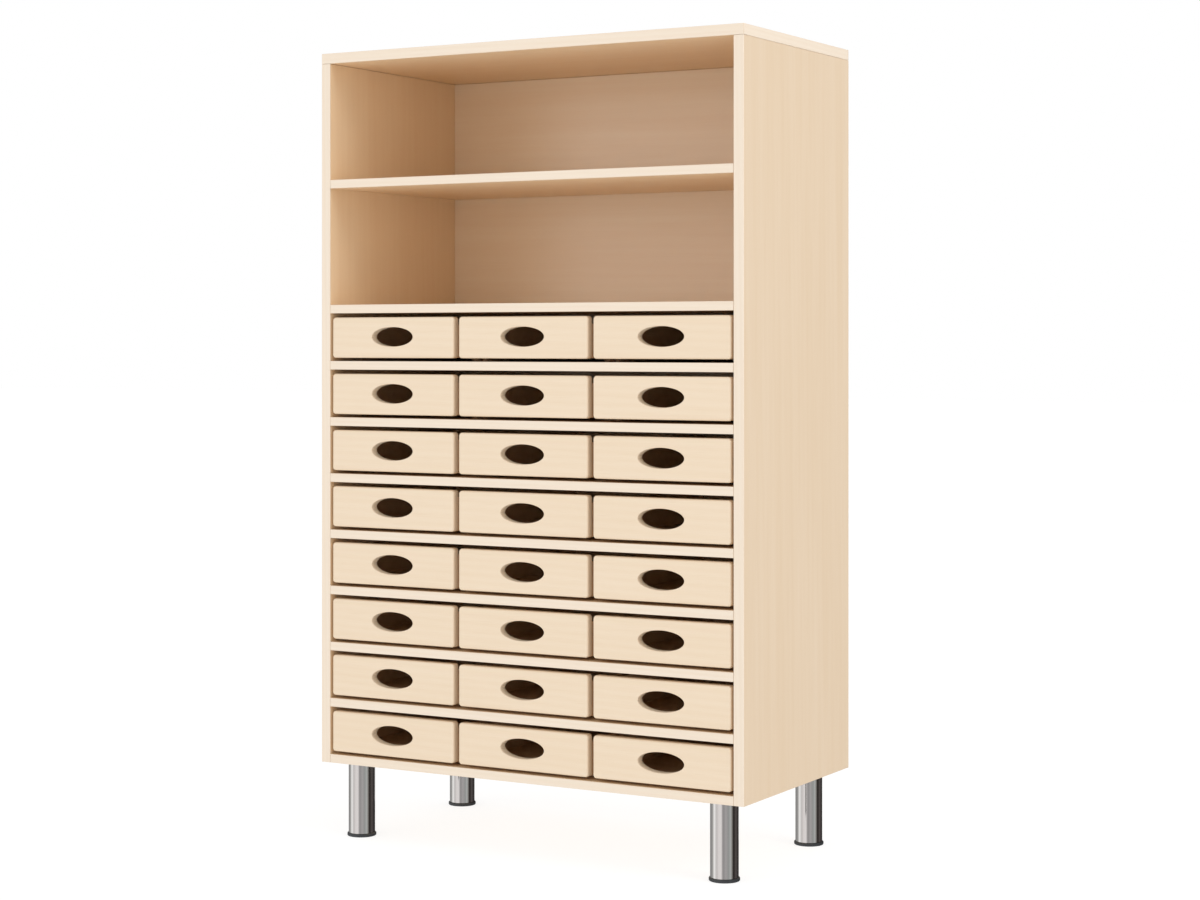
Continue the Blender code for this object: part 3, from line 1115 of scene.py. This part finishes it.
        # Painted light: the faces inside the bays take the brighter, warmer laminate that stands in for bounced light.
        inner = looks_along(Axis.Z, 1) if node == "bottom_panel" else looks_along(Axis.Z)
        board.line(LAMINATE_PAINTED_BOUNCE_LIGHT.material(Axis.X, (Axis.X, Axis.Y)), inner)
        dowels = self.dowels.set(f"{name}_dowels", spans).smooth()
        dowels.dress(BEECH.material(Axis.X, (Axis.X,)), Slot.DOWEL)

    def bolt_holes(self, face_z: float) -> list[Workpiece]:
        """Cutters for the countersunk holes over the legs.

        Args:
            face_z: The board's upper face.

        Returns:
            The cutters.
        """
        cutters = []
        for name in leg_names():
            low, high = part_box(f"leg_bolt_{name}")
            middle = (low + high) / 2
            seat_z = face_z - self.head_recess
            neck_z = seat_z - self.countersink_depth
            hole = Workpiece.rod(
                "hole",
                self.bolt_bore_radius,
                (middle.x, middle.y, neck_z - 2 * self.countersink_radius),
                (middle.x, middle.y, neck_z),
            )
            hole.select_faces(lambda face: face.normal.z > 1 - SAME_PLACE)
            widening = self.countersink_radius / self.bolt_bore_radius
            hole.extend((0, 0, self.countersink_depth), (widening, widening, 1), middle)
            hole.extend((0, 0, CUT_OVERRUN))
            bpy.ops.object.mode_set(mode="OBJECT")
            cutters.append(hole)
        return cutters

    def end_dowel_spans(self, node: str, sign: int) -> list[tuple[Vector, Vector]]:
        """The ends of the two dowels at one end of a cross board.

        Args:
            node: The cross board.
            sign: -1 at its left end and 1 at its right end.

        Returns:
            Each dowel's ends.
        """
        low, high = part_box(node)
        z = (low.z + high.z) / 2
        xs = sign * (self.inner_x - self.dowel_reach), sign * (self.inner_x + self.dowel_reach)
        places = (self.front_y + self.dowel_inset, self.back_face_y - self.dowel_inset)
        return [(Vector((xs[0], y, z)), Vector((xs[1], y, z))) for y in places]

    def top_dowel_spans(self) -> list[tuple[str, tuple[Vector, Vector]]]:
        """Each upright dowel under the top board: its node, and its lower and upper end."""
        spans = []
        for name in sorted(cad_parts):
            if name.startswith("top_dowel_"):
                low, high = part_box(name)
                middle = (low + high) / 2
                ends = Vector((middle.x, middle.y, low.z)), Vector((middle.x, middle.y, high.z))
                spans.append((name, ends))
        return spans


@dataclass
class Tray:
    """A tray of five boards, modelled once about its own origin and copied into every cell.

    The origin is on the shelf at the foot of the front's face, midway between the walls.
    """

    lift: float = 0.0056
    front_thickness: float = 0.016
    corner: float = 0.0055
    rounding: float = 0.004
    rounding_steps: int = 5
    rear_edge: float = 0.0008
    hole_width: float = 0.0855
    hole_height: float = 0.0338
    hole_rise: float = 0.0013
    hole_rounding: float = 0.0015
    hole_steps: int = 64
    wall: float = 0.009
    wall_inset: float = 0.0015
    wall_drop: float = 0.012
    wall_rounding: float = 0.002
    relief_length: float = 0.060
    relief_step: float = 0.001
    housing: float = 0.004
    panel: float = 0.004
    panel_rise: float = 0.008
    fingers: int = 5
    fit: float = 0.0001

    def __post_init__(self) -> None:
        """Read the tray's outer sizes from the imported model."""
        low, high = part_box("tray_r1_c1")
        self.foot_gap = low.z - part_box("tray_shelf_2")[1].z
        self.half_width = (high.x - low.x) / 2
        self.depth = high.y - low.y
        self.front_top = high.z - low.z + self.foot_gap
        self.outside_x = self.half_width - self.wall_inset
        self.inside_x = self.outside_x - self.wall
        self.wall_top = self.front_top - self.wall_drop
        self.start_y = self.front_thickness - self.housing
        self.relief_top = self.lift + self.relief_step
        self.inside_y = self.depth - self.wall

    def build(self) -> None:
        """Model the five boards, copy them into every cell and dress the copies."""
        models = {
            "front": (self.front(), SOLID_BIRCH.material(Axis.X, (Axis.X,))),
            # Painted light: the walls' more amber birch stands in for the warm light bounced inside each tray.
            "left_wall": (self.side_wall(-1), TRAY_WALL_BIRCH_PAINTED_BOUNCE.material(Axis.Y, (Axis.Y,))),
            "right_wall": (self.side_wall(1), TRAY_WALL_BIRCH_PAINTED_BOUNCE.material(Axis.Y, (Axis.Y,))),
            "rear_wall": (self.rear_wall(), TRAY_WALL_BIRCH_PAINTED_BOUNCE.material(Axis.X, (Axis.X,))),
            "bottom": (self.bottom(), BIRCH_PLYWOOD.material(Axis.X, (Axis.X, Axis.Y))),
        }
        for node in sorted(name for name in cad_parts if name.startswith("tray_r")):
            low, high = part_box(node)
            origin = Vector(((low.x + high.x) / 2, low.y, low.z - self.foot_gap))
            for part, (model, material) in models.items():
                nodes = (node,) if part == "front" else ()
                model.copy(f"{node}_{part}", origin).dress(material, Slot.BIRCH, node, nodes)
        for model, _ in models.values():
            model.remove()

    def front(self) -> Workpiece:
        """The front board, rounded over on its face and round its oval finger hole."""
        low = Vector((-self.half_width, 0, self.lift))
        high = Vector((self.half_width, self.front_thickness, self.front_top))
        board = Workpiece.block("tray_front", low, high)
        board.bevel(self.corner, 6, runs_along(Axis.Y))
        board.bevel(self.rear_edge, 2, lies_at(Axis.Y, self.front_thickness))
        board.bevel(self.rounding, self.rounding_steps, lies_at(Axis.Y, 0))
        return board.cut(*self.front_housings()).cut(self.panel_groove()).cut(self.finger_hole()).smooth()

    def finger_hole(self) -> Workpiece:
        """The cutter of the oval finger hole, which widens at both ends by the roundings of its rims."""
        centre = Vector((0, 0, (self.lift + self.front_top) / 2 + self.hole_rise))
        start = centre + Vector((0, self.hole_rounding, 0))
        end = centre + Vector((0, self.front_thickness - self.rear_edge, 0))
        hole = Workpiece.rod("finger_hole", self.hole_width / 2, start, end, self.hole_steps)
        hole.select_faces(lambda face: True)
        bpy.ops.transform.resize(value=(1, 1, self.hole_height / self.hole_width), center_override=centre)
        for way, radius in ((-1, self.hole_rounding), (1, self.rear_edge)):
            hole.select_faces(lambda face: face.normal.y * way > 1 - SAME_PLACE)
            half = Vector((self.hole_width / 2, 1, self.hole_height / 2))
            depth = 0.0
            for step in range(1, self.rounding_steps + 1):
                angle = math.pi / 2 * step / self.rounding_steps
                growth = radius * (1 - math.cos(angle))
                wider = Vector((self.hole_width / 2 + growth, 1, self.hole_height / 2 + growth))
                rise = radius * math.sin(angle) - depth
                hole.extend((0, way * rise, 0), (wider.x / half.x, 1, wider.z / half.z), centre)
                half, depth = wider, depth + rise
            hole.extend((0, way * CUT_OVERRUN, 0))
        bpy.ops.object.mode_set(mode="OBJECT")
        return hole

    def front_housings(self) -> list[Workpiece]:
        """Cutters for the two upright grooves in the front's rear face that take the walls."""
        cutters = []
        for sign in (-1, 1):
            xs = sorted((sign * (self.outside_x + self.fit), sign * (self.inside_x - self.fit)))
            low = (xs[0], self.start_y - self.fit, self.relief_top - self.fit)
            high = (xs[1], self.front_thickness + CUT_OVERRUN, self.wall_top + self.fit)
            cutters.append(Workpiece.block("housing", low, high))
        return cutters

    def panel_groove(self) -> Workpiece:
        """The cutter for the groove between the two housings, which takes the bottom panel."""
        low = (-self.inside_x, self.start_y - self.fit, self.panel_rise - self.fit)
        high = (self.inside_x, self.front_thickness + CUT_OVERRUN, self.panel_rise + self.panel + self.fit)
        return Workpiece.block("groove", low, high)

    def finger_levels(self, keep_even: bool) -> list[tuple[float, float]]:
        """The heights at which a corner's fingers are cut away.

        Args:
            keep_even: Whether the lowest finger stays.

        Returns:
            The lower and upper level of each gap.
        """
        step = (self.wall_top - self.foot_gap) / self.fingers
        wanted = 1 if keep_even else 0
        levels = []
        for index in range(self.fingers):
            if index % 2 == wanted:
                low = self.foot_gap + index * step - self.fit
                high = self.foot_gap + (index + 1) * step + self.fit
                low = low - CUT_OVERRUN if index == 0 else low
                high = high + CUT_OVERRUN if index == self.fingers - 1 else high
                levels.append((low, high))
        return levels

    def side_wall(self, sign: int) -> Workpiece:
        """A side wall, relieved under its front end, grooved for the bottom and fingered at its rear end.

        Args:
            sign: -1 on the left and 1 on the right.

        Returns:
            The wall.
        """
        xs = sorted((sign * self.outside_x, sign * self.inside_x))
        wall = Workpiece.block(
            "tray_wall", (xs[0], self.start_y, self.foot_gap), (xs[1], self.depth, self.wall_top)
        )
        along, at_top = runs_along(Axis.Y), lies_at(Axis.Z, self.wall_top)
        wall.bevel(self.wall_rounding, 3, lambda edge: along(edge) and at_top(edge))
        groove_xs = sorted((sign * (self.inside_x - CUT_OVERRUN), sign * (self.inside_x + self.housing)))
        groove = Workpiece.block(
            "groove",
            (groove_xs[0], 0, self.panel_rise - self.fit),
            (groove_xs[1], self.inside_y + self.housing, self.panel_rise + self.panel + self.fit),
        )
        relief = Workpiece.block(
            "relief",
            (xs[0] - CUT_OVERRUN, 0, 0),
            (xs[1] + CUT_OVERRUN, self.front_thickness + self.relief_length, self.relief_top),
        )
        wall.cut(groove, relief)
        gaps = [
            Workpiece.block(
                "gap",
                (xs[0] - CUT_OVERRUN, self.inside_y - self.fit, low),
                (xs[1] + CUT_OVERRUN, self.depth + CUT_OVERRUN, high),
            )
            for low, high in self.finger_levels(keep_even=True)
        ]
        return wall.cut(*gaps).smooth()

    def rear_wall(self) -> Workpiece:
        """The rear wall, whose fingers fill the gaps of the side walls."""
        wall = Workpiece.block(
            "tray_rear",
            (-self.outside_x, self.inside_y, self.foot_gap),
            (self.outside_x, self.depth, self.wall_top),
        )
        along, at_top = runs_along(Axis.X), lies_at(Axis.Z, self.wall_top)
        wall.bevel(self.wall_rounding, 3, lambda edge: along(edge) and at_top(edge))
        groove = Workpiece.block(
            "groove",
            (-self.inside_x - self.housing, self.inside_y - CUT_OVERRUN, self.panel_rise - self.fit),
            (self.inside_x + self.housing, self.inside_y + self.housing, self.panel_rise + self.panel + self.fit),
        )
        wall.cut(groove)
        gaps = []
        for sign in (-1, 1):
            xs = sorted((sign * (self.outside_x + CUT_OVERRUN), sign * (self.inside_x - self.fit)))
            for low, high in self.finger_levels(keep_even=False):
                gap_low = (xs[0], self.inside_y - CUT_OVERRUN, low)
                gaps.append(Workpiece.block("gap", gap_low, (xs[1], self.depth + CUT_OVERRUN, high)))
        return wall.cut(*gaps).smooth()

    def bottom(self) -> Workpiece:
        """The thin bottom panel, a fit short of its grooves' ends."""
        reach = self.housing - self.fit
        panel = Workpiece.block(
            "tray_bottom",
            (-self.inside_x - reach, self.start_y, self.panel_rise),
            (self.inside_x + reach, self.inside_y + reach, self.panel_rise + self.panel),
        )
        return panel.break_edges(self.fit).smooth()


def leg_names() -> list[str]:
    """The legs' names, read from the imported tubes."""
    prefix = "leg_tube_"
    return sorted(name.removeprefix(prefix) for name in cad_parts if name.startswith(prefix))


@dataclass
class Legs:
    """Four tube legs, each with its plug, bolt and glide, modelled once about its own axis."""

    wall: float = 0.0015
    rim: float = 0.0004
    steps: int = 96
    bore_radius: float = 0.0043
    plug_edge: float = 0.0006
    head_height: float = 0.0045
    socket_width: float = 0.005
    socket_depth: float = 0.003
    shank_radius: float = 0.004
    flange: float = 0.0055
    flange_rounding: float = 0.0016
    fin: float = 0.0006
    fin_pitch: float = 0.004
    recess: float = 0.0008
    recess_rim: float = 0.005

    def build(self) -> None:
        """Model one leg at the first place and copy it to the others."""
        names = leg_names()
        first = names[0]
        kinds = {
            "tube": (self.tube(first), POLISHED_STEEL.material(Axis.Z), Slot.STEEL),
            "plug": (self.plug(first), ZINC_PLATE.material(Axis.Z), Slot.ZINC),
            "bolt": (self.bolt(first), ZINC_PLATE.material(Axis.Z), Slot.ZINC),
            "foot": (self.glide(first), GLIDE_PLASTIC.material(), Slot.PLASTIC),
        }
        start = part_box(f"leg_tube_{first}")[0]
        for name in names:
            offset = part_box(f"leg_tube_{name}")[0] - start
            for kind, (model, material, slot) in kinds.items():
                node = f"leg_{kind}_{name}"
                model.copy(f"{name}_leg_{kind}", offset).dress(material, slot, nodes=(node,))
        for model, _, _ in kinds.values():
            model.remove()

    def span(self, node: str) -> tuple[float, Vector, Vector]:
        """A round node's radius and the middles of its lower and upper end.

        Args:
            node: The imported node, whose axis is upright.

        Returns:
            The radius, the lower end and the upper end.
        """
        low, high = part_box(node)
        middle = (low + high) / 2
        lower = Vector((middle.x, middle.y, low.z))
        return (high.x - low.x) / 2, lower, Vector((middle.x, middle.y, high.z))

    def tube(self, name: str) -> Workpiece:
        """The tube, with a wall and softened rims."""
        radius, lower, upper = self.span(f"leg_tube_{name}")
        tube = Workpiece.rod("tube", radius, lower, upper, self.steps, fill="NOTHING")
        tube.apply("SOLIDIFY", thickness=self.wall, offset=-1)
        return tube.break_edges(self.rim, 2).smooth()

    def plug(self, name: str) -> Workpiece:
        """The plug in the tube's upper end, with the bolt's bore through it."""
        radius, lower, upper = self.span(f"leg_plug_{name}")
        plug = Workpiece.rod("plug", radius, lower, upper, self.steps)
        overrun = Vector((0, 0, CUT_OVERRUN))
        plug.cut(Workpiece.rod("bore", self.bore_radius, lower - overrun, upper + overrun))
        return plug.break_edges(self.plug_edge, 2).smooth()

    def bolt(self, name: str) -> Workpiece:
        """The countersunk bolt with its hexagon socket."""
        radius, lower, upper = self.span(f"leg_bolt_{name}")
        neck = upper - Vector((0, 0, self.head_height))
        bolt = Workpiece.rod("bolt", self.shank_radius, lower, neck)
        bolt.select_faces(lambda face: face.normal.z > 1 - SAME_PLACE)
        widening = radius / self.shank_radius
        bolt.extend((0, 0, self.head_height), (widening, widening, 1), upper)
        bpy.ops.object.mode_set(mode="OBJECT")
        floor = upper - Vector((0, 0, self.socket_depth))
        above = upper + Vector((0, 0, CUT_OVERRUN))
        across = self.socket_width / math.sqrt(3)
        bolt.cut(Workpiece.rod("socket", across, floor, above, 6))
        return bolt.break_edges(self.rim / 2).smooth()

    def glide(self, name: str) -> Workpiece:
        """The glide: a round-edged flange, hollowed underneath, and a finned plug inside the tube."""
        radius, lower, upper = self.span(f"leg_foot_{name}")
        plug_radius = self.span(f"leg_plug_{name}")[0]
        flange_top = lower + Vector((0, 0, self.flange))
        glide = Workpiece.rod("glide", radius, lower, flange_top, self.steps)
        upright = runs_along(Axis.Z)
        glide.bevel(self.flange_rounding, 4, lambda edge: not upright(edge))
        glide.select_faces(lambda face: face.normal.z > 1 - SAME_PLACE)
        core = plug_radius - self.fin
        bpy.ops.mesh.inset(thickness=radius - self.flange_rounding - core)
        fins = int((upper.z - flange_top.z) // self.fin_pitch)
        for _ in range(fins):
            for share, rise in ((1, 0.5), (plug_radius / core, 0), (1, 0.25), (core / plug_radius, 0.25)):
                glide.extend((0, 0, rise * self.fin_pitch), (share, share, 1), lower)
        glide.extend((0, 0, upper.z - flange_top.z - fins * self.fin_pitch))
        glide.select_faces(
            lambda face: face.normal.z < SAME_PLACE - 1 and abs(face.calc_center_median().z - lower.z) < SAME_PLACE
        )
        bpy.ops.mesh.inset(thickness=self.recess_rim)
        bpy.ops.transform.translate(value=(0, 0, self.recess))
        bpy.ops.object.mode_set(mode="OBJECT")
        return glide.smooth()


@dataclass
class Studio:
    """The floor, the light and the camera. A colour renders about as it is written."""

    camera_place: tuple[float, float, float] = (2.1092, -3.6164, 0.8711)
    camera_turn_degrees: float = 29.852
    focal_length_mm: float = 71.633
    sensor_mm: float = 36.0
    horizon_pixel: float = 342.37
    picture_width: int = 1200
    picture_height: int = 900
    ambient: float = 0.85
    floor_colour: str = "#8C8C8C"
    floor_glow: float = 0.8
    lamp_size: float = 1.7
    lamp_target: tuple[float, float, float] = (0.0, 0.0, 0.7)
    left_power: float = 11.5
    fill_power: float = 6.5
    right_power: float = 48.0

    # What a polished tube mirrors, round the compass from the rear, as degrees clockwise and a colour
    mirrored = (
        (-180, "#EBE8E8"),
        (-158, "#E8E4E4"),
        (-145, "#D2CECE"),
        (-134, "#D8D6D6"),
        (-121, "#FFFFFF"),
        (-111, "#E8E8E8"),
        (-100, "#BABAB8"),
        (-92, "#9A9A99"),
        (-76, "#989898"),
        (-30, "#7C7C7C"),
        (-26, "#3A3634"),
        (24, "#363233"),
        (48, "#575150"),
        (70, "#2E2927"),
        (78, "#2C2725"),
        (88, "#7E7B78"),
        (97, "#AAACAB"),
        (104, "#B6B9B8"),
        (118, "#9C9F9F"),
        (128, "#A3A3A3"),
        (142, "#AEACAD"),
        (159, "#9A9899"),
        (168, "#A4A2A3"),
        (177, "#E4E0E0"),
    )

    def build(self) -> None:
        """Set the stage."""
        bpy.context.scene.view_settings.view_transform = "Standard"
        self.floor()
        self.world()
        self.lamps()
        self.camera()

    def floor(self) -> None:
        """A plain pale floor, nearly white to the camera, which keeps the object's shadow."""
        Workpiece.clear_bench()
        bpy.ops.mesh.primitive_plane_add(size=60)
        floor = bpy.context.object
        floor.name = "studio_floor"
        material = bpy.data.materials.new("pale_matt_floor")
        material.use_nodes = True
        tree = material.node_tree
        tree.nodes.clear()
        ray = add_node(tree, "ShaderNodeLightPath").outputs
        matt = add_node(tree, "ShaderNodeBsdfDiffuse", {"Color": linear(self.floor_colour)}).outputs[0]
        glow = add_node(tree, "ShaderNodeEmission", {"Strength": self.floor_glow}).outputs[0]
        seen = add_node(tree, "ShaderNodeAddShader", {0: matt, 1: glow}).outputs[0]
        open_air = add_node(tree, "ShaderNodeBsdfTransparent").outputs[0]
        whole = add_node(tree, "ShaderNodeMixShader", {0: ray["Is Glossy Ray"], 1: seen, 2: open_air}).outputs[0]
        add_node(tree, "ShaderNodeOutputMaterial", {"Surface": whole})
        floor.data.materials.append(material)

    def world(self) -> None:
        """White to the camera, even on the object, and a studio's cards and flags to its metal."""
        world = bpy.data.worlds.new("studio")
        bpy.context.scene.world = world
        world.use_nodes = True
        tree = world.node_tree
        tree.nodes.clear()
        ray = add_node(tree, "ShaderNodeLightPath").outputs
        way = add_node(tree, "ShaderNodeTexCoord").outputs["Generated"]
        parts = add_node(tree, "ShaderNodeSeparateXYZ", {"Vector": way}).outputs
        bearing = add_node(tree, "ShaderNodeMath", {0: parts["X"], 1: parts["Y"]}, operation="ARCTAN2").outputs[0]
        turn = add_node(
            tree, "ShaderNodeMapRange", {"Value": bearing, "From Min": -math.pi, "From Max": math.pi}
        ).outputs["Result"]
        ramp = add_node(tree, "ShaderNodeValToRGB", {"Fac": turn})
        stops = ramp.color_ramp.elements
        while len(stops) < len(self.mirrored):
            stops.new(1)
        for stop, (degrees, colour) in zip(stops, self.mirrored):
            stop.position = (degrees + 180) / 360
            stop.color = linear(colour)
        ambient = add_node(
            tree, "ShaderNodeBackground", {"Color": linear("#FFFFFF"), "Strength": self.ambient}
        ).outputs[0]
        mirrored = add_node(tree, "ShaderNodeBackground", {"Color": ramp.outputs["Color"], "Strength": 1.0}).outputs[0]
        white = add_node(tree, "ShaderNodeBackground", {"Color": linear("#FFFFFF"), "Strength": 1.0}).outputs[0]
        lit = add_node(tree, "ShaderNodeMixShader", {0: ray["Is Glossy Ray"], 1: ambient, 2: mirrored}).outputs[0]
        through = add_node(
            tree, "ShaderNodeMath", {0: ray["Is Camera Ray"], 1: ray["Is Transmission Ray"]}, operation="MAXIMUM"
        ).outputs[0]
        whole = add_node(tree, "ShaderNodeMixShader", {0: through, 1: lit, 2: white}).outputs[0]
        add_node(tree, "ShaderNodeOutputWorld", {"Surface": whole})

    def lamp(self, name: str, place: tuple[float, float, float], power: float, mirrored: bool) -> None:
        """Hang one broad soft lamp that looks at the object.

        Args:
            name: The lamp's name.
            place: Where it hangs.
            power: Its power in watts.
            mirrored: Whether glossy surfaces show it.
        """
        lamp = bpy.data.lights.new(name, "AREA")
        lamp.shape = "SQUARE"
        lamp.size = self.lamp_size
        lamp.energy = power
        softbox = bpy.data.objects.new(name, lamp)
        softbox.location = place
        softbox.rotation_euler = (Vector(self.lamp_target) - Vector(place)).to_track_quat("-Z", "Y").to_euler()
        softbox.visible_glossy = mirrored
        bpy.context.scene.collection.objects.link(softbox)

    def lamps(self) -> None:
        """Three soft lamps; the left one shows in the back board's sheen, and the right one is the key."""
        self.lamp("left_softbox", (-2.35, -4.1, 1.7), self.left_power, mirrored=True)
        self.lamp("fill_softbox", (1.2, -4.6, 1.2), self.fill_power, mirrored=False)
        self.lamp("right_softbox", (4.3, -0.8, 3.2), self.right_power, mirrored=False)

    def camera(self) -> None:
        """A level camera to the right of the front, shifted down as the photograph's framing needs."""
        camera = bpy.data.cameras.new("camera")
        camera.sensor_width = self.sensor_mm
        camera.lens = self.focal_length_mm
        camera.shift_y = (self.horizon_pixel - self.picture_height / 2) / self.picture_width
        view = bpy.data.objects.new("camera", camera)
        view.location = self.camera_place
        view.rotation_euler = (math.pi / 2, 0, math.radians(self.camera_turn_degrees))
        bpy.context.scene.collection.objects.link(view)
        bpy.context.scene.camera = view


def main() -> None:
    """Build the sub-assemblies in order and set the stage."""
    logging.basicConfig(level=logging.INFO, format="%(name)s: %(message)s")
    for assembly in (Carcass(), Tray(), Legs(), Studio()):
        log.info("building %s", type(assembly).__name__)
        assembly.build()


if __name__ == "__main__":
    main()
